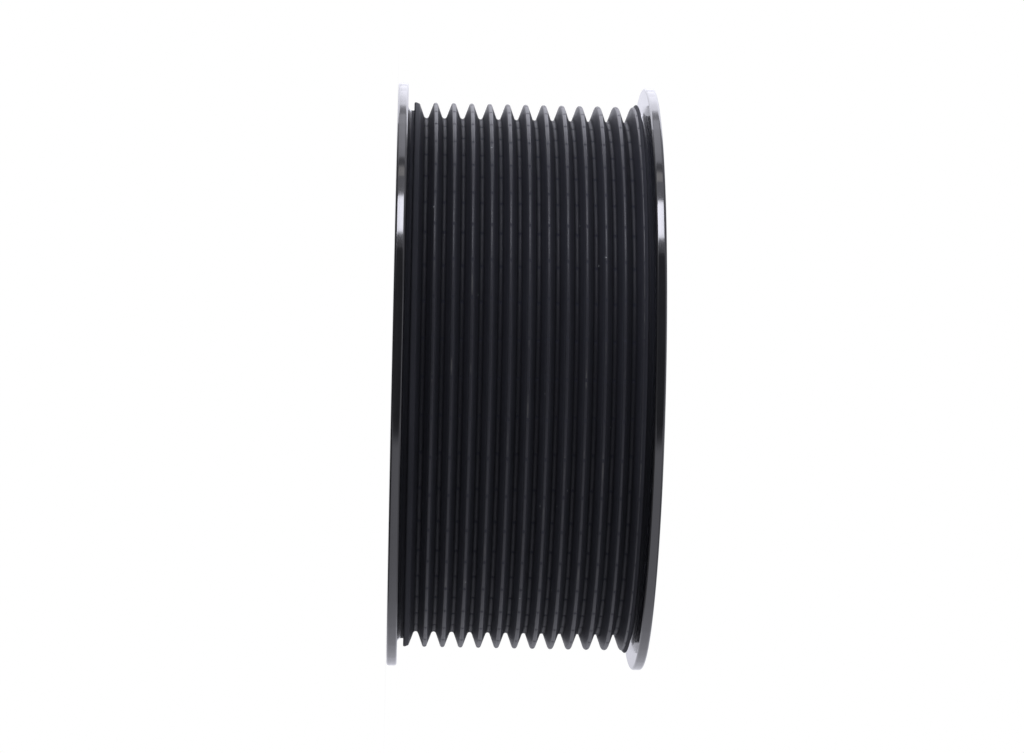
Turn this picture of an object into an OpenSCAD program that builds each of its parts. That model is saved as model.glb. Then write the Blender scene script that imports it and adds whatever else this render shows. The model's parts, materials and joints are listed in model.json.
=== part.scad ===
// Multi-rib belt pulley, turned from one billet.
// The axis is +Z. The part stands on its lower flange, with the origin at the centre of that face.

/* [Ribs] */
// Distance from one rib crest to the next
rib_pitch = 3.56; // [3:0.02:4.8]
// Number of V-grooves between the flanges
groove_count = 12; // [4:1:16]
// Diameter over the rib crests
rib_od = 108; // [100:0.5:114]
// Angle between the two flanks of a groove
groove_angle = 40; // [34:1:60]
// Rounding radius of the rib crests
crest_r = 0.45; // [0.2:0.05:0.7]
// Rounding radius of the groove floors
floor_r = 0.5; // [0.2:0.05:0.7]

/* [End ribs] */
// Distance from an end rib's crest line to its outer wall
end_rib_w = 0.65; // [0.5:0.05:1.5]
// Height of the lower end rib's lip above the crests
lower_lip_h = 0.15; // [0.05:0.05:0.8]
// Height of the upper end rib's lip above the crests
upper_lip_h = 0.45; // [0.05:0.05:0.8]
// Width of the flat on top of a lip
lip_land_w = 0.2; // [0.05:0.05:0.4]

/* [Flanges] */
// Height of the flange rims above the rib crests
flange_h = 3.8; // [2:0.1:8]
// Thickness of each flange
flange_t = 2; // [1.4:0.1:5]
// Rounding radius of the flange rim edges
rim_edge_r = 0.5; // [0.1:0.05:0.65]
// Width of the relief between an end rib and its flange
relief_w = 1.2; // [0.5:0.05:3]
// Depth of the relief below the rib crests
relief_depth = 1.65; // [0.5:0.05:3]
// Fillet radius between a relief and its flange
relief_fillet_r = 0.9; // [0.1:0.05:1]

/* [Rim and web] */
// Wall of the rim, from the groove floors in to the cup
rim_wall = 8; // [5:0.5:14]
// Thickness of the web
web_t = 10; // [6:0.5:14]
// Fillet radius where the web meets the rim
web_fillet_r = 3; // [1:0.5:4]
// Chamfer on the mouths of the cup and the recess
mouth_chamfer = 0.8; // [0.2:0.1:1.6]

/* [Hub fit] */
// Diameter of the hub's pilot
pilot_d = 25.4; // [16:0.1:34]
// Running clearance of the pilot in its bore, on the diameter
pilot_clearance = 0.04; // [0.01:0.01:0.2]
// Chamfer on both edges of the pilot bore
pilot_chamfer = 0.8; // [0.2:0.1:1.6]
// Number of hub screws
screw_count = 6; // [3:1:8]
// Diameter of the circle that the screws lie on
screw_circle_d = 50; // [46:0.5:60]
// Nominal diameter of a hub screw
screw_d = 6; // [4:0.5:8]
// Clearance of a screw in its hole, on the diameter
screw_clearance = 0.6; // [0.2:0.1:1]
// Chamfer on both edges of a screw hole
screw_chamfer = 0.4; // [0.1:0.1:0.8]
// Height of a hub screw's head
screw_head_h = 6; // [3:0.5:10]
// Depth of a seated screw head below the upper flange face
screw_head_drop = 1; // [0.2:0.1:3]

/* [Hidden] */
$fn = 96;

// Steps in each rounded crest and groove floor
rib_arc_steps = 6;
// Steps in each quarter of a rim edge or fillet
edge_arc_steps = 6;
// Overlap of a cut past the face that it opens
cut_over = 1;

flank_angle = groove_angle / 2;
// Turn of a crest from straight outwards to square with its flank
crest_turn = 90 - flank_angle;
crest_radius = rib_od / 2;
flange_radius = crest_radius + flange_h;
relief_radius = crest_radius - relief_depth;

// The flank is the common tangent of a crest arc and a floor arc half a pitch away
flank_drop = (rib_pitch / 2 * cos(flank_angle) - crest_r - floor_r) / sin(flank_angle);
groove_depth = crest_r + floor_r + flank_drop;
crest_centre_r = crest_radius - crest_r;
floor_centre_r = crest_radius - groove_depth + floor_r;

first_crest_z = flange_t + relief_w + end_rib_w;
last_crest_z = first_crest_z + groove_count * rib_pitch;
width = last_crest_z + first_crest_z;

recess_depth = screw_head_h + screw_head_drop;
web_top = width - recess_depth;
web_bottom = web_top - web_t;
cup_radius = crest_radius - groove_depth - rim_wall;
pilot_radius = (pilot_d + pilot_clearance) / 2;
screw_hole_r = (screw_d + screw_clearance) / 2;

// Point [radius, height] on a circle, at an angle from straight outwards
function on_circle(centre, r, a) = [centre[0] + r * cos(a), centre[1] + r * sin(a)];

// Points along an arc, from one angle to another
function arc(centre, r, from, to, steps) =
    [for (i = [0 : steps]) on_circle(centre, r, from + (to - from) * i / steps)];

function crest_z(i) = first_crest_z + i * rib_pitch;

function crest_centre(i) = [crest_centre_r, crest_z(i)];

function crest(i, from, to) = arc(crest_centre(i), crest_r, from, to, rib_arc_steps);

// The floor of the groove below crest i
function groove_floor(i) =
    arc([floor_centre_r, crest_z(i) - rib_pitch / 2], floor_r, 180 + crest_turn, 180 - crest_turn,
        rib_arc_steps);

// All the grooves. The first rib slopes straight from its lip to its flank, and the last one has half a
// crest below its lip.
function ribs() = concat(
    [on_circle(crest_centre(0), crest_r, crest_turn)],
    [for (i = [1 : groove_count])
        each concat(groove_floor(i), crest(i, -crest_turn, i < groove_count ? crest_turn : 0))]);

// Flange at the lower end, from its outer face to the outer wall of the first rib
function lower_end() = concat(
    [[cup_radius + mouth_chamfer, 0]],
    arc([flange_radius - rim_edge_r, rim_edge_r], rim_edge_r, -90, 0, edge_arc_steps),
    arc([flange_radius - rim_edge_r, flange_t - rim_edge_r], rim_edge_r, 0, 90, edge_arc_steps),
    arc([relief_radius + relief_fillet_r, flange_t + relief_fillet_r], relief_fillet_r, 270, 180,
        edge_arc_steps),
    [[relief_radius, flange_t + relief_w],
     [crest_radius + lower_lip_h, flange_t + relief_w],
     [crest_radius + lower_lip_h, flange_t + relief_w + lip_land_w]]);

// Flange at the upper end, from the outer wall of the last rib to its outer face
function upper_end() = concat(
    [[crest_radius + upper_lip_h, width - flange_t - relief_w - lip_land_w],
     [crest_radius + upper_lip_h, width - flange_t - relief_w],
     [relief_radius, width - flange_t - relief_w]],
    arc([relief_radius + relief_fillet_r, width - flange_t - relief_fillet_r], relief_fillet_r, 180, 90,
        edge_arc_steps),
    arc([flange_radius - rim_edge_r, width - flange_t + rim_edge_r], rim_edge_r, -90, 0, edge_arc_steps),
    arc([flange_radius - rim_edge_r, width - rim_edge_r], rim_edge_r, 0, 90, edge_arc_steps),
    [[cup_radius + mouth_chamfer, width]]);

// Recess, web with its pilot bore, and cup, from the upper face down to the lower one
function inside() = concat(
    [[cup_radius, width - mouth_chamfer]],
    arc([cup_radius - web_fillet_r, web_top + web_fillet_r], web_fillet_r, 0, -90, edge_arc_steps),
    [[pilot_radius + pilot_chamfer, web_top],
     [pilot_radius, web_top - pilot_chamfer],
     [pilot_radius, web_bottom + pilot_chamfer],
     [pilot_radius + pilot_chamfer, web_bottom]],
    arc([cup_radius - web_fillet_r, web_bottom - web_fillet_r], web_fillet_r, 90, 0, edge_arc_steps),
    [[cup_radius, mouth_chamfer]]);

module turned_section() {
    polygon(concat(
        lower_end(),
        ribs(),
        upper_end(),
        inside()));
}

// A hub screw's hole, with a chamfer at each face of the web
module screw_hole() {
    mouth_r = screw_hole_r + screw_chamfer + cut_over;
    rotate_extrude()
        polygon([
            [0, web_bottom - cut_over],
            [mouth_r, web_bottom - cut_over],
            [screw_hole_r, web_bottom + screw_chamfer],
            [screw_hole_r, web_top - screw_chamfer],
            [mouth_r, web_top + cut_over],
            [0, web_top + cut_over]]);
}

module pulley() {
    color("#1c1d21")
        difference() {
            rotate_extrude()
                turned_section();
            for (i = [0 : screw_count - 1])
                rotate([0, 0, i * 360 / screw_count])
                    translate([screw_circle_d / 2, 0, 0])
                        screw_hole();
        }
}

pulley();
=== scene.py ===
"""Visual model of a black anodised multi-rib belt pulley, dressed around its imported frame."""
import json
import logging
import math
from collections.abc import Callable, Mapping
from dataclasses import dataclass, field, replace
from enum import Enum
from typing import Any, Union

import bpy
from mathutils import Matrix, Vector

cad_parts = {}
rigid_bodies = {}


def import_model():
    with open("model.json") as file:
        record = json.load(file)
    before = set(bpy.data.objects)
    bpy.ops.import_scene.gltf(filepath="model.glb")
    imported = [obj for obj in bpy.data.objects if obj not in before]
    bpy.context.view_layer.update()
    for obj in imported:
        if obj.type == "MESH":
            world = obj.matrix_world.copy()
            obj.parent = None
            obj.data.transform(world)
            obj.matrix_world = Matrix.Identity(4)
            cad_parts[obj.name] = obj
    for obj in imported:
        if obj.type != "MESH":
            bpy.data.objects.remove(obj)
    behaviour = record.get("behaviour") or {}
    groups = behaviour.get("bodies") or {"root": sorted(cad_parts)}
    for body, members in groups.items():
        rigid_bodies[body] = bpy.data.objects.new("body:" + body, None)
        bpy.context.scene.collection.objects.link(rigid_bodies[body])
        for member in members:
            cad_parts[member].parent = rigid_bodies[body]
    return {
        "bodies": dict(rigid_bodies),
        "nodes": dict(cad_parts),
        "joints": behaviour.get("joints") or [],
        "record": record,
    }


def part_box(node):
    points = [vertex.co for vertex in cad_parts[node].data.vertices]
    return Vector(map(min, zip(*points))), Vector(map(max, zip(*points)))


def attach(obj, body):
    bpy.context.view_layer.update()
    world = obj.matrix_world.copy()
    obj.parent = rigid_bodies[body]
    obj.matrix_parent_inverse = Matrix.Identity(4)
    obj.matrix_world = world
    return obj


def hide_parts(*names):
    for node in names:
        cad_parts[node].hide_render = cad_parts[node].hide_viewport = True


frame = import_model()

LOG = logging.getLogger("pulley")
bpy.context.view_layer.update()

# Metres in a millimetre
MM = 0.001
# Points closer than this are one point, in millimetres
WELD = 0.002
# Width of the picture, in pixels
PICTURE_WIDTH = 1024
# Middle of a noise pattern's range, which is 0 to 1
NOISE_MIDDLE = 0.5
# Direction of the pulley's axis
AXIS = Vector((0, 0, 1))
ORIGIN = Vector((0, 0, 0))

Colour = tuple[float, float, float]
Number = Union["Signal", float]

WHITE: Colour = (1.0, 1.0, 1.0)
# Cool white of the panels and of the room around them
COOL_WHITE: Colour = (0.90, 0.90, 1.0)
# Warm white of a small strip beside the key light
WARM_WHITE: Colour = (1.0, 0.93, 0.84)
# Grey of the reliefs beside the flanges, lighter than the black around it: painted light that stands in for
# light the narrow slots don't get
RELIEF_PAINTED_LIGHT: Colour = (0.0360, 0.0374, 0.0475)


class Zone(Enum):
    """Surface of the pulley that has a finish of its own, with its material slot."""

    RIBS = 0
    SCORES = 1
    LIPS = 2
    RIMS = 3
    FACES = 4
    INSIDE = 5


class Ray(Enum):
    """Kinds of light path that see the white surroundings."""

    CAMERA = "Is Camera Ray"
    GLOSSY = "Is Glossy Ray"
    TRANSMISSION = "Is Transmission Ray"


class Signal:
    """A shader number that arithmetic turns into Math nodes."""

    def __init__(self, board: "NodeBoard", socket: bpy.types.NodeSocket) -> None:
        """Wraps one output socket of a board.

        Args:
            board: The board that new Math nodes are put on.
            socket: The output socket to wrap.
        """
        self.board = board
        self.socket = socket

    def _math(self, operation: str, first: Number, second: Number = 0.0) -> "Signal":
        """Adds one Math node.

        Args:
            operation: Blender's name of the operation.
            first: The first operand.
            second: The second operand.

        Returns:
            The node's value.
        """
        node = self.board.add("ShaderNodeMath", {"operation": operation}, {0: first, 1: second})
        return Signal(self.board, node.outputs[0])

    def __add__(self, other: Number) -> "Signal":
        """Sum."""
        return self._math("ADD", self, other)

    def __radd__(self, other: Number) -> "Signal":
        """Sum, with the number first."""
        return self._math("ADD", other, self)

    def __sub__(self, other: Number) -> "Signal":
        """Difference."""
        return self._math("SUBTRACT", self, other)

    def __rsub__(self, other: Number) -> "Signal":
        """Difference, with the number first."""
        return self._math("SUBTRACT", other, self)

    def __mul__(self, other: Number) -> "Signal":
        """Product."""
        return self._math("MULTIPLY", self, other)

    def __rmul__(self, other: Number) -> "Signal":
        """Product, with the number first."""
        return self._math("MULTIPLY", other, self)

    def __pow__(self, other: Number) -> "Signal":
        """Power."""
        return self._math("POWER", self, other)

    def __rpow__(self, other: Number) -> "Signal":
        """Power, with the number first."""
        return self._math("POWER", other, self)

    def __abs__(self) -> "Signal":
        """Size without its sign."""
        return self._math("ABSOLUTE", self)

    def __lt__(self, other: Number) -> "Signal":
        """1 where this is below the other, or else 0."""
        return self._math("LESS_THAN", self, other)

    def __gt__(self, other: Number) -> "Signal":
        """1 where this is above the other, or else 0."""
        return self._math("GREATER_THAN", self, other)


@dataclass(frozen=True)
class Spot:
    """Where a surface point is on its piece, in metres."""

    place: bpy.types.NodeSocket
    # Distance from the axis
    radius: Signal
    # Radius and height as a vector, which is the same all the way round
    ring: bpy.types.NodeSocket


class NodeBoard:
    """A node tree that is filled node by node."""

    def __init__(self, tree: bpy.types.NodeTree) -> None:
        """Starts with an empty tree.

        Args:
            tree: The tree to clear and fill.
        """
        self.tree = tree
        self.tree.nodes.clear()

    def add(
        self,
        kind: str,
        settings: Mapping[str, Any] | None = None,
        sockets: Mapping[str | int, Any] | None = None,
    ) -> bpy.types.Node:
        """Adds a node of any type.

        Args:
            kind: Blender's name of the node type.
            settings: The node's own settings, set first.
            sockets: Input sockets by name or place, each with a value, a socket or a Signal.

        Returns:
            The new node.
        """
        node = self.tree.nodes.new(kind)
        for name, value in (settings or {}).items():
            setattr(node, name, value)
        for name, value in (sockets or {}).items():
            self._feed(node.inputs[name], value)
        return node

    def _feed(self, socket: bpy.types.NodeSocket, value: Any) -> None:
        """Links a socket or sets its value.

        Args:
            socket: The input socket.
            value: A Signal, an output socket, a number, or a colour or vector as a tuple.
        """
        if isinstance(value, Signal):
            value = value.socket
        if isinstance(value, bpy.types.NodeSocket):
            self.tree.links.new(value, socket)
        elif socket.type == "RGBA":
            socket.default_value = (*value, 1.0)
        else:
            socket.default_value = value

    def signal(self, node: bpy.types.Node, output: str | int = 0) -> Signal:
        """Wraps one output of a node."""
        return Signal(self, node.outputs[output])

    def spot(self) -> Spot:
        """Reads where the surface point is.

        Returns:
            The point's place, radius and ring.
        """
        place = self.add("ShaderNodeTexCoord").outputs["Object"]
        parts = self.add("ShaderNodeSeparateXYZ", sockets={0: place})
        x, y, height = (self.signal(parts, i) for i in range(3))
        radius = (x * x + y * y) ** 0.5
        ring = self.add("ShaderNodeCombineXYZ", sockets={0: radius, 1: height})
        return Spot(place, radius, ring.outputs[0])

    def noise(self, vector: bpy.types.NodeSocket, grain: float, detail: float) -> Signal:
        """Adds a noise pattern.

        Args:
            vector: Where the pattern is read.
            grain: Size of its grains, in metres.
            detail: How many finer layers it has.

        Returns:
            A number about 0.5, from 0 to 1.
        """
        sockets = {"Vector": vector, "Scale": 1.0 / grain, "Detail": detail}
        return self.signal(self.add("ShaderNodeTexNoise", sockets=sockets))

    def ease(self, value: Signal, low: float, high: float) -> Signal:
        """Steps smoothly from 0 to 1.

        Args:
            value: What decides the step.
            low: Where the step starts.
            high: Where the step ends. It may be the smaller number.

        Returns:
            0 at low and on that side of it, 1 at high and on that side.
        """
        node = self.add(
            "ShaderNodeMapRange",
            {"interpolation_type": "SMOOTHSTEP"},
            {"Value": value, "From Min": low, "From Max": high},
        )
        return self.signal(node)

    def mix(self, share: Number, first: Any, second: Any) -> bpy.types.NodeSocket:
        """Mixes two colours.

        Args:
            share: How much of the second colour shows, from 0 to 1.
            first: The first colour.
            second: The second colour.

        Returns:
            The mixed colour.
        """
        # The node's colours are its inputs 6 and 7 and its output 2
        node = self.add("ShaderNodeMix", {"data_type": "RGBA"}, {0: share, 6: first, 7: second})
        return node.outputs[2]

    def facing(self, way: bpy.types.NodeSocket, towards: Vector) -> Signal:
        """Compares a direction with a fixed one.

        Args:
            way: The direction.
            towards: The fixed direction, as a unit vector.

        Returns:
            The cosine of the angle between them.
        """
        node = self.add("ShaderNodeVectorMath", {"operation": "DOT_PRODUCT"}, {0: way, 1: towards})
        return self.signal(node, "Value")


@dataclass(frozen=True)
class Layer:
    """Something that lies on a finish, or changes it in places."""

    colour: Colour
    roughness: float

    def mask(self, board: NodeBoard, spot: Spot) -> Signal:
        """Finds where the layer shows, from 0 to 1."""
        raise NotImplementedError

    def cover(
        self, board: NodeBoard, spot: Spot, base: bpy.types.NodeSocket, roughness: Signal
    ) -> tuple[bpy.types.NodeSocket, Signal]:
        """Lays the layer over what is there.

        Args:
            board: The board to add to.
            spot: Where the surface point is.
            base: The colour below.
            roughness: The roughness below.

        Returns:
            The new colour and roughness.
        """
        share = self.mask(board, spot)
        return board.mix(share, base, self.colour), roughness + share * (self.roughness - roughness)


@dataclass(frozen=True)
class RadiusBand(Layer):
    """A finish that shows near one radius, and fades out past it. Sizes are in millimetres."""

    radius: float
    # Distances from that radius, positive outwards, at which the finish is full and at which it has ended
    full: float
    end: float

    def mask(self, board: NodeBoard, spot: Spot) -> Signal:
        """Finds the range."""
        return board.ease(spot.radius, (self.radius + self.end) * MM, (self.radius + self.full) * MM)


@dataclass(frozen=True)
class RubbedCrests(Layer):
    """Thin pale lines, rubbed here and there along the tops of the ribs."""

    # Radius of the crests, and how far down from it they are rubbed, in millimetres
    crest_radius: float
    depth: float = 0.03
    # Size of the patches, in metres, and how many finer layers they have
    patch: float = 8 * MM
    detail: float = 3.0
    # Noise at which rubbing starts and is full
    starts: float = 0.60
    full: float = 0.72

    def mask(self, board: NodeBoard, spot: Spot) -> Signal:
        """Finds the rubbed stretches."""
        patches = board.ease(board.noise(spot.place, self.patch, self.detail), self.starts, self.full)
        return patches * (spot.radius > (self.crest_radius - self.depth) * MM)


@dataclass(frozen=True)
class Dust(Layer):
    """Specks of dust, scattered over a surface."""

    # Size of the cells that may hold one speck each, and radius of the largest speck, in metres
    cell: float = 1.5 * MM
    radius: float = 0.22 * MM
    # Size of the smallest speck, as a share of the largest
    smallest: float = 0.4
    # Share of the cells that hold a speck
    share: float = 0.03

    def mask(self, board: NodeBoard, spot: Spot) -> Signal:
        """Finds the specks.

        Args:
            board: The board to add to.
            spot: Where the surface point is.

        Returns:
            1 on a speck, or else 0.
        """
        cells = board.add("ShaderNodeTexVoronoi", sockets={"Vector": spot.place, "Scale": 1.0 / self.cell})
        chance = board.add("ShaderNodeSeparateColor", sockets={0: cells.outputs["Color"]})
        size = (board.signal(chance, 1) * (1.0 - self.smallest) + self.smallest) * (self.radius / self.cell)
        return (board.signal(cells, "Distance") < size) * (board.signal(chance, 0) < self.share)


@dataclass(frozen=True)
class ToolRings:
    """Rings that turning leaves. They depend only on radius and height. Sizes are in metres."""

    # Spacing and depth of the finest rings
    pitch: float
    depth: float
    # How far the roughness of one band of rings differs from the next
    contrast: float
    # Width of a band, and how many finer layers the bands and the finest rings have
    band: float = 1.4 * MM
    band_detail: float = 2.0
    ring_detail: float = 1.0

    def sheen(self, board: NodeBoard, spot: Spot) -> Signal:
        """Gives the change of roughness from band to band."""
        bands = board.noise(spot.ring, self.band, self.band_detail)
        return (bands - NOISE_MIDDLE) * (self.contrast / NOISE_MIDDLE)

    def normal(self, board: NodeBoard, spot: Spot) -> bpy.types.NodeSocket:
        """Gives the normal, bumped by the finest rings."""
        height = board.noise(spot.ring, self.pitch, self.ring_detail)
        return board.add("ShaderNodeBump", sockets={"Distance": self.depth, "Height": height}).outputs[0]


@dataclass(frozen=True)
class AnodisedFinish:
    """Black dyed anodic layer over turned aluminium."""

    name: str
    colour: Colour
    roughness: float
    ior: float
    rings: ToolRings
    layers: tuple[Layer, ...] = ()
    # Share by which the colour wanders, and how far the roughness does
    tone: float = 0.25
    cloud: float = 0.04
    # Size of the clouds, in metres, and how many finer layers they have
    cloud_size: float = 7 * MM
    cloud_detail: float = 3.0

    def material(self) -> bpy.types.Material:
        """Builds the finish.

        Returns:
            The material.
        """
        made = bpy.data.materials.new(self.name)
        made.use_nodes = True
        board = NodeBoard(made.node_tree)
        spot = board.spot()
        clouds = board.noise(spot.place, self.cloud_size, self.cloud_detail)
        darker, lighter = ([c * (1.0 + turn * self.tone) for c in self.colour] for turn in (-1, 1))
        base = board.mix(clouds, darker, lighter)
        wander = (clouds - NOISE_MIDDLE) * (self.cloud / NOISE_MIDDLE)
        roughness = self.roughness + wander + self.rings.sheen(board, spot)
        for layer in self.layers:
            base, roughness = layer.cover(board, spot, base, roughness)
        shader = board.add(
            "ShaderNodeBsdfPrincipled",
            sockets={
                "Base Color": base,
                "Roughness": roughness,
                "IOR": self.ior,
                "Normal": self.rings.normal(board, spot),
            },
        )
        board.add("ShaderNodeOutputMaterial", sockets={0: shader.outputs[0]})
        return made


@dataclass(frozen=True)
class Corner:
    """A corner of the turned outline, in millimetres from the axis and the lower face."""

    radius: float
    height: float
    rounding: float = 0.0


@dataclass
class Outline:
    """A closed outline whose corners are rounded by arcs."""

    corners: list[Corner] = field(default_factory=list)
    # Largest turn of one step of an arc, in degrees, and the fewest steps of an arc
    arc_step: float = 22.0
    least_steps: int = 2

    def add(self, radius: float, height: float, rounding: float = 0.0) -> None:
        """Adds one corner."""
        self.corners.append(Corner(radius, height, rounding))

    def points(self) -> list[Vector]:
        """Works out the outline's points.

        Returns:
            Radius and height of each point, in metres, in order.
        """
        found: list[Vector] = []
        count = len(self.corners)
        for i, corner in enumerate(self.corners):
            before = self.corners[i - 1]
            after = self.corners[(i + 1) % count]
            found.extend(self._round(before, corner, after))
        return [p * MM for p in found]

    def _round(self, before: Corner, corner: Corner, after: Corner) -> list[Vector]:
        """Rounds one corner.

        Args:
            before: The corner before it.
            corner: The corner.
            after: The corner after it.

        Returns:
            The points of its arc, or the corner itself where it is sharp.
        """
        apex = Vector((corner.radius, corner.height))
        if not corner.rounding:
            return [apex]
        back = (Vector((before.radius, before.height)) - apex).normalized()
        ahead = (Vector((after.radius, after.height)) - apex).normalized()
        half = back.angle(ahead) / 2
        centre = apex + (back + ahead).normalized() * (corner.rounding / math.sin(half))
        start = apex + back * (corner.rounding / math.tan(half)) - centre
        turn = start.angle_signed(apex + ahead * (corner.rounding / math.tan(half)) - centre)
        steps = max(self.least_steps, math.ceil(math.degrees(abs(turn)) / self.arc_step))
        return [centre + Matrix.Rotation(-turn * k / steps, 2) @ start for k in range(steps + 1)]


@dataclass
class GrooveBand:
    """The ribbed band that the belt runs on. Sizes are in millimetres."""

    crest_radius: float
    pitch: float = 3.56
    grooves: int = 12
    flank_angle: float = math.radians(20)
    crest_r: float = 0.45
    floor_r: float = 0.5
    end_rib_w: float = 0.65
    lower_lip_h: float = 0.15
    upper_lip_h: float = 0.45
    lip_land_w: float = 0.2
    # Roundings of the lower lip and of the upper lip's two edges
    lower_lip_r: float = 0.3
    upper_lip_r: float = 0.14
    # Rounding where the first rib's slope meets its flank
    slope_edge_r: float = 0.2

    @property
    def crest_apex(self) -> float:
        """Radius at which the flanks of a rib would meet."""
        return self.crest_radius + self.crest_r * (1 / math.sin(self.flank_angle) - 1)

    @property
    def floor_apex(self) -> float:
        """Radius at which the flanks of a groove would meet."""
        return self.crest_apex - self.pitch / 2 / math.tan(self.flank_angle)

    @property
    def floor_radius(self) -> float:
        """Radius of the groove floors."""
        return self.floor_apex + self.floor_r * (1 / math.sin(self.flank_angle) - 1)

    @property
    def shoulder(self) -> float:
        """Distance along the axis from the last crest line to where its flat top would meet the flank."""
        return self.crest_r * math.tan((math.pi / 2 - self.flank_angle) / 2)

    def draw(self, outline: Outline, first: float) -> None:
        """Adds the band's corners, from the lower end rib's wall to the upper one's.

        Args:
            outline: The outline to add to.
            first: Height of the first crest line.
        """
        last = first + self.grooves * self.pitch
        lower_lip = self.crest_radius + self.lower_lip_h
        upper_lip = self.crest_radius + self.upper_lip_h
        flank_top = self.crest_radius - self.crest_r * (1 - math.sin(self.flank_angle))
        outline.add(lower_lip, first - self.end_rib_w, self.lower_lip_r)
        outline.add(flank_top, first + self.crest_r * math.cos(self.flank_angle), self.slope_edge_r)
        for i in range(self.grooves):
            if i:
                outline.add(self.crest_apex, first + i * self.pitch, self.crest_r)
            outline.add(self.floor_apex, first + (i + 0.5) * self.pitch, self.floor_r)
        outline.add(self.crest_radius, last - self.shoulder, self.crest_r)
        outline.add(self.crest_radius, last)
        outline.add(upper_lip, last + self.end_rib_w - self.lip_land_w, self.upper_lip_r)
        outline.add(upper_lip, last + self.end_rib_w, self.upper_lip_r)


@dataclass
class ScoreLines:
    """Fine lines scored along the axis, across all the ribs."""

    count: int = 45
    # Angle of one line about the axis, from +X
    phase: float = math.radians(6.43)
    # Widths at the crests, and depths on the crests and the groove floors, in millimetres
    mouth_w: float = 0.7
    floor_w: float = 0.3
    crest_depth: float = 0.05
    floor_depth: float = 0.12
    # How far from a crest's top or a groove's bottom the line shows, measured along a radius
    reach: float = 0.13
    # Plain steps on each side of a line
    plain_steps: int = 2

    @property
    def sector(self) -> float:
        """Angle from one line to the next."""
        return 2 * math.pi / self.count

    def stations(self, radius: float) -> list[float]:
        """Works out the angles at which a sector is cut.

        Args:
            radius: Radius of the crests, in millimetres.

        Returns:
            Angles from the sector's start to its end, with the line in the middle.
        """
        half = self.sector / 2
        mouth = self.mouth_w / 2 / radius
        floor = self.floor_w / 2 / radius
        plain = (half - mouth) / self.plain_steps
        before = [k * plain for k in range(self.plain_steps)] + [half - mouth, half - floor]
        return before + [self.sector - a for a in reversed(before)]


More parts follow.
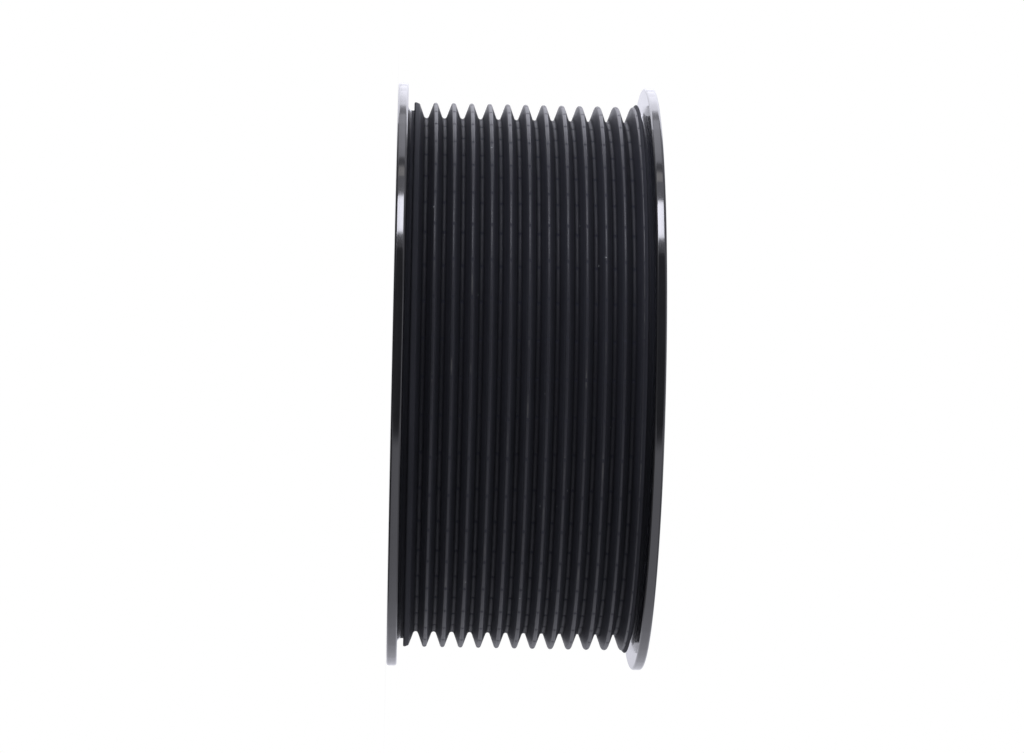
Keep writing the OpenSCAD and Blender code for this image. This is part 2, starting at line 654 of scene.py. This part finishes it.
@dataclass
class Pulley:
    """The turned pulley: grooved rim, flanges, web, pilot bore and screw holes. Sizes are in millimetres."""

    flange_radius: float
    width: float
    pilot_r: float
    web_bottom: float
    web_top: float
    screw_circle_r: float
    screw_count: int
    screw_hole_r: float
    band: GrooveBand
    scores: ScoreLines = field(default_factory=ScoreLines)
    flange_t: float = 2.0
    rim_edge_r: float = 0.5
    relief_w: float = 1.2
    relief_depth: float = 1.65
    # Roundings of a relief beside its flange and beside the end rib
    relief_fillet_r: float = 0.9
    relief_edge_r: float = 0.15
    # How far up from a relief's floor its finish is dull
    dull_floor_h: float = 0.05
    rim_wall: float = 8.0
    web_fillet_r: float = 3.0
    mouth_chamfer: float = 0.8
    pilot_chamfer: float = 0.8
    screw_chamfer: float = 0.4
    # Slight rounding of the edges that are left sharp by the tool
    edge_r: float = 0.1
    # Sides of a screw hole, and how far its drill reaches past each face
    hole_sides: int = 48
    drill_over: float = 1.0
    smooth_angle: float = math.radians(35)

    @classmethod
    def from_frame(cls, packed: Mapping[str, Any]) -> "Pulley":
        """Takes the sizes that the frame holds.

        Args:
            packed: What loading the frame gave.

        Returns:
            A pulley that fits the frame.
        """
        mounts = {m["name"]: m for m in packed["record"]["mounts"]}
        low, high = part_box("pulley")
        bore = mounts["pilot_bore"]
        screws = mounts["hub_screws"]["dims"]
        web_bottom = mounts["hub_face"]["pos_m"][2] / MM
        web_middle = bore["pos_m"][2] / MM
        return cls(
            flange_radius=min(high.x - low.x, high.y - low.y) / 2 / MM,
            width=(high.z - low.z) / MM,
            pilot_r=bore["dims"]["r_mm"],
            web_bottom=web_bottom,
            web_top=2 * web_middle - web_bottom,
            screw_circle_r=screws["pcd_mm"] / 2,
            screw_count=screws["count"],
            screw_hole_r=screws["hole_r_mm"],
            band=GrooveBand(mounts["belt_ribs"]["dims"]["r_mm"]),
        )

    @property
    def first_crest(self) -> float:
        """Height of the first crest line."""
        return self.rib_wall + self.band.end_rib_w

    @property
    def rib_wall(self) -> float:
        """Distance from a flange's outer face to the outer wall of the end rib."""
        return self.flange_t + self.relief_w

    @property
    def relief_radius(self) -> float:
        """Radius of the reliefs' floors."""
        return self.band.crest_radius - self.relief_depth

    @property
    def fillet_top(self) -> float:
        """Radius at which a relief's fillet meets the flange."""
        return self.relief_radius + self.relief_fillet_r

    @property
    def cup_radius(self) -> float:
        """Radius of the cup and the recess."""
        return self.band.floor_radius - self.rim_wall

    def outline(self) -> Outline:
        """Draws the section from the lower face, up the rim, and down through the bore.

        Returns:
            The section's outline.
        """
        made = Outline()
        relief = self.relief_radius
        top = self.width
        made.add(self.cup_radius + self.mouth_chamfer, 0, self.edge_r)
        made.add(self.flange_radius, 0, self.rim_edge_r)
        made.add(self.flange_radius, self.flange_t, self.rim_edge_r)
        made.add(relief, self.flange_t, self.relief_fillet_r)
        made.add(relief, self.rib_wall, self.relief_edge_r)
        self.band.draw(made, self.first_crest)
        made.add(relief, top - self.rib_wall, self.relief_edge_r)
        made.add(relief, top - self.flange_t, self.relief_fillet_r)
        made.add(self.flange_radius, top - self.flange_t, self.rim_edge_r)
        made.add(self.flange_radius, top, self.rim_edge_r)
        made.add(self.cup_radius + self.mouth_chamfer, top, self.edge_r)
        made.add(self.cup_radius, top - self.mouth_chamfer, self.edge_r)
        made.add(self.cup_radius, self.web_top, self.web_fillet_r)
        made.add(self.pilot_r + self.pilot_chamfer, self.web_top, self.edge_r)
        made.add(self.pilot_r, self.web_top - self.pilot_chamfer, self.edge_r)
        made.add(self.pilot_r, self.web_bottom + self.pilot_chamfer, self.edge_r)
        made.add(self.pilot_r + self.pilot_chamfer, self.web_bottom, self.edge_r)
        made.add(self.cup_radius, self.web_bottom, self.web_fillet_r)
        made.add(self.cup_radius, self.mouth_chamfer, self.edge_r)
        return made

    def build(self) -> bpy.types.Object:
        """Models the pulley.

        Returns:
            The finished piece, with a material slot for each zone still to be filled.
        """
        piece = self._draw_section()
        self._turn_sector(piece)
        self._press_score(self.scores.crest_depth, self.band.crest_radius)
        self._press_score(self.scores.floor_depth, self.band.floor_radius)
        for zone in Zone:
            piece.data.materials.append(None)
            self._assign(piece, zone)
        self._repeat_sector()
        bpy.ops.object.mode_set(mode="OBJECT")
        self._drill(piece)
        self._smooth(piece)
        return piece

    def _draw_section(self) -> bpy.types.Object:
        """Draws the outline as a wire, point by point, in the plane where a sector starts.

        Returns:
            The piece, in edit mode.
        """
        start = self.scores.phase - self.scores.sector / 2
        wire = [
            Vector((p.x * math.cos(start), p.x * math.sin(start), p.y)) for p in self.outline().points()
        ]
        bpy.ops.object.select_all(action="DESELECT")
        bpy.ops.mesh.primitive_plane_add(size=MM)
        piece = bpy.context.object
        piece.name = piece.data.name = "turned_pulley"
        bpy.ops.object.mode_set(mode="EDIT")
        bpy.ops.mesh.select_mode(type="VERT")
        bpy.ops.mesh.merge(type="CENTER")
        bpy.ops.transform.translate(value=wire[0])
        for here, there in zip(wire, wire[1:] + wire[:1]):
            bpy.ops.mesh.extrude_vertices_move(TRANSFORM_OT_translate={"value": there - here})
        bpy.ops.mesh.select_all(action="SELECT")
        bpy.ops.mesh.remove_doubles(threshold=WELD * MM)
        return piece

    def _turn_sector(self, piece: bpy.types.Object) -> None:
        """Turns the wire through one sector, station by station.

        Args:
            piece: The piece, in edit mode with its wire selected.
        """
        stations = self.scores.stations(self.band.crest_radius)
        for here, there in zip(stations, stations[1:]):
            bpy.ops.mesh.spin(steps=1, angle=here - there, center=ORIGIN, axis=AXIS)
        LOG.info("sector of %s: %d stations", piece.name, len(stations))

    def _select(self, keep: Callable[[float, float, float], bool], faces: bool) -> None:
        """Selects what lies where it should.

        Args:
            keep: Says for a radius and height in millimetres, and an angle from the sector's line, whether
                something there is wanted.
            faces: True to select faces by their middles, False to select points.
        """
        bpy.ops.object.mode_set(mode="OBJECT")
        mesh = bpy.context.object.data
        for group in (mesh.vertices, mesh.edges, mesh.polygons):
            group.foreach_set("select", [False] * len(group))
        for item in mesh.polygons if faces else mesh.vertices:
            at = item.center if faces else item.co
            angle = math.atan2(at.y, at.x) - self.scores.phase
            item.select = keep(math.hypot(at.x, at.y) / MM, at.z / MM, angle)
        bpy.ops.object.mode_set(mode="EDIT")
        bpy.ops.mesh.select_mode(type="FACE" if faces else "VERT")

    def _on_ribs(self, radius: float, height: float) -> bool:
        """Says whether a point is on the ribs, between the slope of the first and the lip of the last.

        Args:
            radius: Radius of the point.
            height: Height of the point.

        Returns:
            True where it is.
        """
        start = self.first_crest + self.band.crest_r * math.cos(self.band.flank_angle) - WELD
        end = self.first_crest + self.band.grooves * self.band.pitch + WELD
        return radius > self.band.floor_apex and start < height < end

    def _press_score(self, depth: float, radius: float) -> None:
        """Presses the sector's score line in towards the axis, on the crests or on the groove floors.

        Args:
            depth: Depth of the line.
            radius: Radius of the crests or of the groove floors.
        """
        half_width = (self.scores.floor_w / 2 + WELD) / self.band.crest_radius

        def on_line(r: float, h: float, a: float) -> bool:
            """Says whether a point is on the line's floor, near that radius."""
            return abs(a) < half_width and self._on_ribs(r, h) and abs(r - radius) < self.scores.reach

        self._select(on_line, faces=False)
        keep = 1 - depth / radius
        bpy.ops.transform.resize(value=(keep, keep, 1), center_override=ORIGIN)

    def _zone_at(self, radius: float, height: float, angle: float) -> Zone:
        """Finds a zone.

        Args:
            radius: Radius of a face's middle.
            height: Height of a face's middle.
            angle: Its angle from the sector's line.

        Returns:
            The zone that the face is in.
        """
        inward = min(height, self.width - height)
        if radius < self.cup_radius + self.mouth_chamfer:
            return Zone.INSIDE
        if self._on_ribs(radius, height):
            on_line = abs(angle) < self.scores.mouth_w / 2 / self.band.crest_radius
            drop = min(abs(radius - r) for r in (self.band.crest_radius, self.band.floor_radius))
            return Zone.SCORES if on_line and drop < self.scores.reach else Zone.RIBS
        dull_floor = radius < self.relief_radius + self.dull_floor_h and inward > self.flange_t
        if dull_floor or inward > self.rib_wall + WELD:
            return Zone.LIPS
        on_rim = radius > self.flange_radius - self.rim_edge_r or inward > self.flange_t - WELD
        return Zone.RIMS if on_rim else Zone.FACES

    def _assign(self, piece: bpy.types.Object, zone: Zone) -> None:
        """Gives a zone's faces its material slot.

        Args:
            piece: The piece.
            zone: The zone.
        """
        self._select(lambda r, h, a: self._zone_at(r, h, a) is zone, faces=True)
        piece.active_material_index = zone.value
        bpy.ops.object.material_slot_assign()

    def _repeat_sector(self) -> None:
        """Copies the sector all the way round and closes the seams."""
        bpy.ops.mesh.select_all(action="SELECT")
        copies = self.scores.count - 1
        bpy.ops.mesh.spin(
            steps=copies, dupli=True, angle=-copies * self.scores.sector, center=ORIGIN, axis=AXIS
        )
        bpy.ops.mesh.select_all(action="SELECT")
        bpy.ops.mesh.remove_doubles(threshold=WELD * MM)
        bpy.ops.mesh.normals_make_consistent(inside=False)

    def _drill(self, piece: bpy.types.Object) -> None:
        """Cuts the chamfered screw holes.

        Args:
            piece: The piece to cut.
        """
        mouth = self.screw_hole_r + self.screw_chamfer + self.drill_over
        middle = (self.web_top + self.web_bottom) / 2
        for i in range(self.screw_count):
            angle = 2 * math.pi * i / self.screw_count
            at = Vector((math.cos(angle), math.sin(angle), 0)) * self.screw_circle_r
            at.z = middle
            bpy.ops.object.select_all(action="DESELECT")
            bpy.ops.mesh.primitive_cylinder_add(
                vertices=self.hole_sides,
                radius=mouth * MM,
                depth=(self.web_top - self.web_bottom + 2 * self.drill_over) * MM,
                location=at * MM,
            )
            cutter = bpy.context.object
            self._waist(at, mouth)
            cut = piece.modifiers.new("screw_hole", "BOOLEAN")
            cut.operation = "DIFFERENCE"
            cut.object = cutter
            bpy.ops.object.select_all(action="DESELECT")
            bpy.context.view_layer.objects.active = piece
            bpy.ops.object.modifier_apply(modifier=cut.name)
            bpy.data.objects.remove(cutter)

    def _waist(self, at: Vector, mouth: float) -> None:
        """Narrows a drill blank to the hole's radius between its two chamfers.

        Args:
            at: The blank's middle, in millimetres.
            mouth: The blank's radius.
        """
        bpy.ops.object.mode_set(mode="EDIT")
        for height in (self.web_bottom + self.screw_chamfer, self.web_top - self.screw_chamfer):
            bpy.ops.mesh.select_all(action="SELECT")
            bpy.ops.mesh.bisect(plane_co=(at.x * MM, at.y * MM, height * MM), plane_no=AXIS)
            shrink = self.screw_hole_r / mouth
            bpy.ops.transform.resize(value=(shrink, shrink, 1), center_override=at * MM)
        bpy.ops.object.mode_set(mode="OBJECT")

    def _smooth(self, piece: bpy.types.Object) -> None:
        """Shades the piece smooth where it is round.

        Args:
            piece: The piece.
        """
        bpy.ops.object.select_all(action="DESELECT")
        piece.select_set(True)
        bpy.context.view_layer.objects.active = piece
        bpy.ops.object.shade_smooth_by_angle(angle=self.smooth_angle)
        weigh = piece.modifiers.new("even_shading", "WEIGHTED_NORMAL")
        weigh.keep_sharp = True
        # The modifier passes over faces that are tiny in metres, so it runs in millimetres
        self._scale(1 / MM)
        bpy.ops.object.modifier_apply(modifier=weigh.name)
        self._scale(MM)

    @staticmethod
    def _scale(factor: float) -> None:
        """Scales the selected piece about the origin, down to its points."""
        bpy.ops.transform.resize(value=(factor, factor, factor), center_override=ORIGIN)
        bpy.ops.object.transform_apply(location=False, rotation=False, scale=True)

    def finishes(self) -> dict[Zone, AnodisedFinish]:
        """Works out the finish of each zone.

        Returns:
            The finishes.
        """
        ribs = self._rib_finish()
        return {
            Zone.RIBS: ribs,
            Zone.SCORES: self._score_finish(ribs),
            Zone.LIPS: self._lip_finish(ribs.rings),
            Zone.RIMS: self._rim_finish(),
            Zone.FACES: AnodisedFinish(
                "turned_faces",
                colour=(0.0100, 0.0105, 0.0130),
                roughness=0.3,
                ior=1.6,
                rings=ToolRings(pitch=0.2 * MM, depth=0.0015 * MM, contrast=0.1),
            ),
            Zone.INSIDE: AnodisedFinish(
                "turned_inside",
                colour=(0.0110, 0.0115, 0.0142),
                roughness=0.36,
                ior=1.6,
                rings=ToolRings(pitch=0.25 * MM, depth=0.002 * MM, contrast=0.08),
            ),
        }

    def _rib_finish(self) -> AnodisedFinish:
        """Makes the finish of the ribs.

        Returns:
            A satin finish with painted shade on the groove floors, a painted highlight in a pale band round
            each crest top, darker crest tops, rubbed lines and dust.
        """
        crest = self.band.crest_radius
        # Painted shade: the groove floors are laid darker, besides being rougher
        floors = self._painted_floor_shade((0.0150, 0.0157, 0.0218), roughness=0.60)
        # Painted highlight: a pale band round each crest top widens its highlight
        shoulder_highlight = RadiusBand((0.0390, 0.0404, 0.0520), roughness=0.46, radius=crest, full=-0.5, end=-1.1)
        crests = RadiusBand((0.0220, 0.0229, 0.0305), roughness=0.42, radius=crest, full=-0.12, end=-0.4)
        rubbed = RubbedCrests((0.06, 0.06, 0.064), roughness=0.5, crest_radius=crest)
        dust = Dust((0.30, 0.31, 0.33), roughness=0.9)
        return AnodisedFinish(
            "satin_ribs",
            colour=(0.0310, 0.0322, 0.0425),
            roughness=0.46,
            ior=1.40,
            rings=ToolRings(pitch=0.11 * MM, depth=0.004 * MM, contrast=0.03),
            layers=(floors, shoulder_highlight, crests, rubbed, dust),
        )

    def _painted_floor_shade(self, colour: Colour, roughness: float) -> RadiusBand:
        """Makes a layer of painted shade that covers the groove floors and ends part of the way up the
        flanks.
        """
        return RadiusBand(colour, roughness, self.band.floor_radius, full=0.1, end=0.9)

    def _score_finish(self, ribs: AnodisedFinish) -> AnodisedFinish:
        """Makes the finish of the score lines.

        Args:
            ribs: The finish of the ribs around them.

        Returns:
            A finish with less gloss, and with painted shade that makes it darker on the groove floors.
        """
        # Painted shade: the score lines are laid darker on the groove floors
        floors = self._painted_floor_shade((0.0268, 0.0280, 0.0389), roughness=0.72)
        return replace(
            ribs,
            name="scored_lines",
            colour=(0.0310, 0.0322, 0.0427),
            roughness=0.52,
            ior=1.17,
            layers=(floors,),
        )

    def _lip_finish(self, rings: ToolRings) -> AnodisedFinish:
        """Makes the finish of the lips on the end ribs and of the reliefs' floors, which get painted light.

        Args:
            rings: The rings that turning left on the ribs.

        Returns:
            A dull finish, with painted light on the reliefs' floors.
        """
        # Painted light: the reliefs' floors are laid a lighter grey than the lips
        floors = RadiusBand(RELIEF_PAINTED_LIGHT, roughness=0.62, radius=self.fillet_top, full=-0.7, end=0.0)
        return AnodisedFinish(
            "dull_lips",
            colour=(0.0290, 0.0301, 0.0385),
            roughness=0.70,
            ior=1.2,
            rings=rings,
            layers=(floors,),
        )

    def _rim_finish(self) -> AnodisedFinish:
        """Makes the finish of the flange rims and of the flanges' inner walls.

        Returns:
            A glossy finish with painted light, which turns a lighter grey down in the reliefs.
        """
        # Painted light: the flanges' inner walls turn a lighter grey down in the reliefs
        reliefs = RadiusBand(RELIEF_PAINTED_LIGHT, roughness=0.12, radius=self.fillet_top, full=0.0, end=1.6)
        return AnodisedFinish(
            "polished_rims",
            colour=(0.0085, 0.0086, 0.0105),
            roughness=0.1,
            ior=1.76,
            rings=ToolRings(pitch=0.16 * MM, depth=0.0004 * MM, contrast=0.02),
            layers=(reliefs,),
            cloud=0.02,
        )

    def dress(self, piece: bpy.types.Object) -> None:
        """Gives each zone its finish and hands the piece to the frame.

        Args:
            piece: The finished piece.
        """
        for zone, finish in self.finishes().items():
            piece.material_slots[zone.value].material = finish.material()
        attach(piece, "root")
        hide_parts("pulley")


def from_above(degrees: float) -> Vector:
    """Gives a direction square to the axis.

    Args:
        degrees: Angle from the top of the picture, positive towards the camera.

    Returns:
        The direction, as a unit vector.
    """
    angle = math.radians(degrees)
    return Vector((-math.cos(angle), -math.sin(angle), 0.0))


@dataclass(frozen=True)
class SoftBox:
    """A rectangular studio light that faces the pulley's axis."""

    name: str
    # Unit vector from the axis to the light, and its distance, in metres
    towards: Vector
    distance: float
    # Size across the axis, in metres
    across: float
    # Brightness of its face, where 1 is white
    brightness: float
    colour: Colour = COOL_WHITE
    # Size along the axis, and height of its middle above the pulley's lower face, in metres
    along: float = 0.51
    height: float = -0.095

    @classmethod
    def between(
        cls, name: str, start: float, end: float, distance: float, brightness: float, **more: Any
    ) -> "SoftBox":
        """Makes a light that runs along the axis.

        Args:
            name: Name of the light.
            start: Angle of its far edge from the top of the picture, in degrees.
            end: Angle of its near edge.
            distance: Distance from the axis, in metres.
            brightness: Brightness of its face.
            more: The other fields, where they aren't the usual ones.

        Returns:
            The light.
        """
        across = 2 * distance * math.tan(math.radians(end - start) / 2)
        return cls(name, from_above((start + end) / 2), distance, across, brightness, **more)

    def hang(self) -> None:
        """Makes the light."""
        lamp = bpy.data.lights.new(self.name, "AREA")
        lamp.shape = "RECTANGLE"
        lamp.size = self.across
        lamp.size_y = self.along
        lamp.color = self.colour
        lamp.energy = self.brightness * math.pi * self.across * self.along
        light = bpy.data.objects.new(self.name, lamp)
        bpy.context.collection.objects.link(light)
        side = AXIS.cross(self.towards)
        side = side.normalized() if side.length else Vector((1, 0, 0))
        up = self.towards.cross(side)
        turn = Matrix((side, up, self.towards)).transposed().to_4x4()
        light.matrix_world = Matrix.Translation(self.towards * self.distance + AXIS * self.height) @ turn
        light.visible_camera = False


def wide_panel(name: str, start: float, end: float, brightness: float) -> SoftBox:
    """Makes one panel of the wide wall behind the pulley.

    Args:
        name: Name of the panel.
        start: Angle of its lower edge from the top of the picture, in degrees.
        end: Angle of its upper edge.
        brightness: Brightness of its face.

    Returns:
        The panel.
    """
    return SoftBox.between(name, start, end, distance=1.2, brightness=brightness, along=1.45, height=0.09)


@dataclass(frozen=True)
class DarkSide:
    """A dim side of the room."""

    towards: Vector
    # Cosine of the angle at which it ends, and half the width of the soft edge around that
    edge: float
    softness: float
    # Brightness there, where 1 is white
    level: float

    def light(self, board: NodeBoard, way: bpy.types.NodeSocket) -> Signal:
        """Works out the brightness that is left.

        Args:
            board: The board to add to.
            way: The direction.

        Returns:
            The brightness in that direction.
        """
        facing = board.facing(way, self.towards)
        dark = board.ease(facing, self.edge - self.softness, self.edge + self.softness)
        return 1.0 - dark * (1.0 - self.level)


@dataclass(frozen=True)
class DarkGap:
    """A dim gap between two panels, which runs along the pulley's axis."""

    # Angle of its middle from the top of the picture, in degrees
    middle: float = -0.5
    # Half its width, and half the width of the soft edge around that, as angles
    half_width: float = math.radians(2.2)
    softness: float = 0.01
    # Brightness there, where 1 is white
    level: float = 0.4
    # Cosine of the angle at which it ends, towards the ends of the axis
    reach: float = 0.3

    def light(self, board: NodeBoard, way: bpy.types.NodeSocket) -> Signal:
        """Works out the brightness that is left.

        Args:
            board: The board to add to.
            way: The direction.

        Returns:
            The brightness in that direction.
        """
        off = abs(board.facing(way, from_above(self.middle + 90)))
        inside = 1.0 - board.ease(off, self.half_width - self.softness, self.half_width + self.softness)
        near = board.facing(way, from_above(self.middle)) > self.reach
        return 1.0 - inside * near * (1.0 - self.level)


@dataclass
class Studio:
    """Floor, surroundings, lights and camera."""

    # Radius of the floor, in metres, and its number of sides
    floor_radius: float = 0.16
    floor_sides: int = 96
    # Gap below the pulley's lower face, which keeps the two apart
    floor_gap: float = 0.1 * MM
    # Share of the floor's white that is its own, the rest being lit and shadowed
    floor_glow: float = 0.8
    # Brightness of that own white
    floor_white: float = 1.12
    # Share of the surroundings that the pulley's gloss shows through the floor
    floor_open: float = 0.9
    floor_colour: Colour = (0.9, 0.9, 0.9)
    # Light of the room on rough surfaces
    room_light: float = 0.52
    # Behind the camera, and towards each end of the axis
    dark_sides: tuple[DarkSide, ...] = (
        DarkSide(from_above(76), edge=0.777, softness=0.05, level=0.12),
        DarkSide(-AXIS, edge=0.55, softness=0.13, level=0.15),
        DarkSide(AXIS, edge=0.55, softness=0.13, level=0.5),
    )
    dark_gap: DarkGap = DarkGap()
    lights: tuple[SoftBox, ...] = (
        SoftBox.between("key_strip", 19.0, 35.4, distance=1.0, brightness=10.6),
        SoftBox.between("warm_strip", 4.4, 8.0, distance=1.1, brightness=0.9, colour=WARM_WHITE),
        SoftBox.between("overhead_panel", -30.0, -1.2, distance=1.1, brightness=0.8),
        wide_panel("rear_panel", -56.0, -36.0, brightness=2.25),
        wide_panel("middle_panel", -66.0, -56.0, brightness=1.5),
        wide_panel("low_panel", -77.0, -66.0, brightness=0.75),
        SoftBox.between("back_panel", -88.0, -77.0, distance=1.2, brightness=0.25),
        SoftBox("end_panel", AXIS, distance=1.4, across=1.0, brightness=0.9, along=1.0, height=0.0),
    )
    # Camera: distance from the axis, height, upward tilt and roll in radians, and focal length in pixels
    camera_distance: float = 727.5 * MM
    camera_height: float = 2.29 * MM
    camera_tilt: float = 0.0295
    camera_roll: float = 0.0212
    focal_pixels: float = 3656.0
    # Width of its sensor, in millimetres, and the nearest distance that it sees, in metres
    sensor_width: float = 36.0
    clip_start: float = 0.01

    def build(self) -> None:
        """Sets up the studio."""
        self._lay_floor()
        self._surround()
        for light in self.lights:
            light.hang()
        self._place_camera()
        bpy.context.scene.view_settings.view_transform = "Standard"

    @staticmethod
    def _seen_by(board: NodeBoard) -> dict[Ray, Signal]:
        """Reads the kinds of light path.

        Args:
            board: The board to add to.

        Returns:
            1 or 0 for each kind.
        """
        path = board.add("ShaderNodeLightPath")
        return {ray: board.signal(path, ray.value) for ray in Ray}

    def _lay_floor(self) -> None:
        """Lays a plain white floor that keeps the pulley's shadow."""
        bpy.ops.object.select_all(action="DESELECT")
        bpy.ops.mesh.primitive_circle_add(
            vertices=self.floor_sides,
            radius=self.floor_radius,
            fill_type="NGON",
            location=(0, 0, -self.floor_gap),
        )
        floor = bpy.context.object
        floor.name = floor.data.name = "floor"
        paper = bpy.data.materials.new("white_floor")
        paper.use_nodes = True
        board = NodeBoard(paper.node_tree)
        seen = self._seen_by(board)
        glow = (seen[Ray.CAMERA] + seen[Ray.TRANSMISSION]) * self.floor_glow
        matt = board.add("ShaderNodeBsdfDiffuse", sockets={"Color": self.floor_colour})
        white = board.add("ShaderNodeEmission", sockets={"Color": WHITE, "Strength": self.floor_white})
        both = board.add(
            "ShaderNodeMixShader", sockets={0: glow, 1: matt.outputs[0], 2: white.outputs[0]}
        )
        open_air = board.add("ShaderNodeBsdfTransparent")
        mirrored = board.add(
            "ShaderNodeMixShader",
            sockets={0: seen[Ray.GLOSSY] * self.floor_open, 1: both.outputs[0], 2: open_air.outputs[0]},
        )
        board.add("ShaderNodeOutputMaterial", sockets={0: mirrored.outputs[0]})
        floor.data.materials.append(paper)

    def _surround(self) -> None:
        """Surrounds the pulley with white, while its gloss shows the room's dim sides and a dim gap."""
        world = bpy.data.worlds.new("studio")
        world.use_nodes = True
        bpy.context.scene.world = world
        board = NodeBoard(world.node_tree)
        seen = self._seen_by(board)
        way = board.add("ShaderNodeTexCoord").outputs["Generated"]
        room = self.dark_gap.light(board, way)
        for side in self.dark_sides:
            room = room * side.light(board, way)
        plain = seen[Ray.CAMERA] + seen[Ray.TRANSMISSION]
        matt = 1.0 - plain - seen[Ray.GLOSSY]
        light = board.add(
            "ShaderNodeBackground",
            sockets={
                "Color": board.mix(seen[Ray.GLOSSY], WHITE, COOL_WHITE),
                "Strength": plain + seen[Ray.GLOSSY] * room + matt * self.room_light,
            },
        )
        board.add("ShaderNodeOutputWorld", sockets={0: light.outputs[0]})

    def _place_camera(self) -> None:
        """Puts the camera where the picture was taken from, with the pulley's axis across the picture."""
        lens = bpy.data.cameras.new("camera")
        lens.sensor_fit = "HORIZONTAL"
        lens.sensor_width = self.sensor_width
        lens.lens = self.sensor_width * self.focal_pixels / PICTURE_WIDTH
        lens.clip_start = self.clip_start
        camera = bpy.data.objects.new("camera", lens)
        bpy.context.collection.objects.link(camera)
        along = Vector((0, -math.sin(self.camera_tilt), math.cos(self.camera_tilt)))
        back = Vector((0, -math.cos(self.camera_tilt), -math.sin(self.camera_tilt)))
        above = from_above(0)
        right = along * math.cos(self.camera_roll) + above * math.sin(self.camera_roll)
        up = above * math.cos(self.camera_roll) - along * math.sin(self.camera_roll)
        turn = Matrix((right, up, back)).transposed().to_4x4()
        camera.matrix_world = Matrix.Translation((0, -self.camera_distance, self.camera_height)) @ turn
        bpy.context.scene.camera = camera


def main() -> None:
    """Builds the pulley and its studio, and reports each piece."""
    logging.basicConfig(level=logging.INFO, format="%(name)s: %(message)s")
    pulley = Pulley.from_frame(frame)
    piece = pulley.build()
    pulley.dress(piece)
    piece.data.calc_loop_triangles()
    LOG.info("%s: %d triangles", piece.name, len(piece.data.loop_triangles))
    studio = Studio()
    studio.build()
    LOG.info("studio: %d lights", len(studio.lights))


if __name__ == "__main__":
    main()
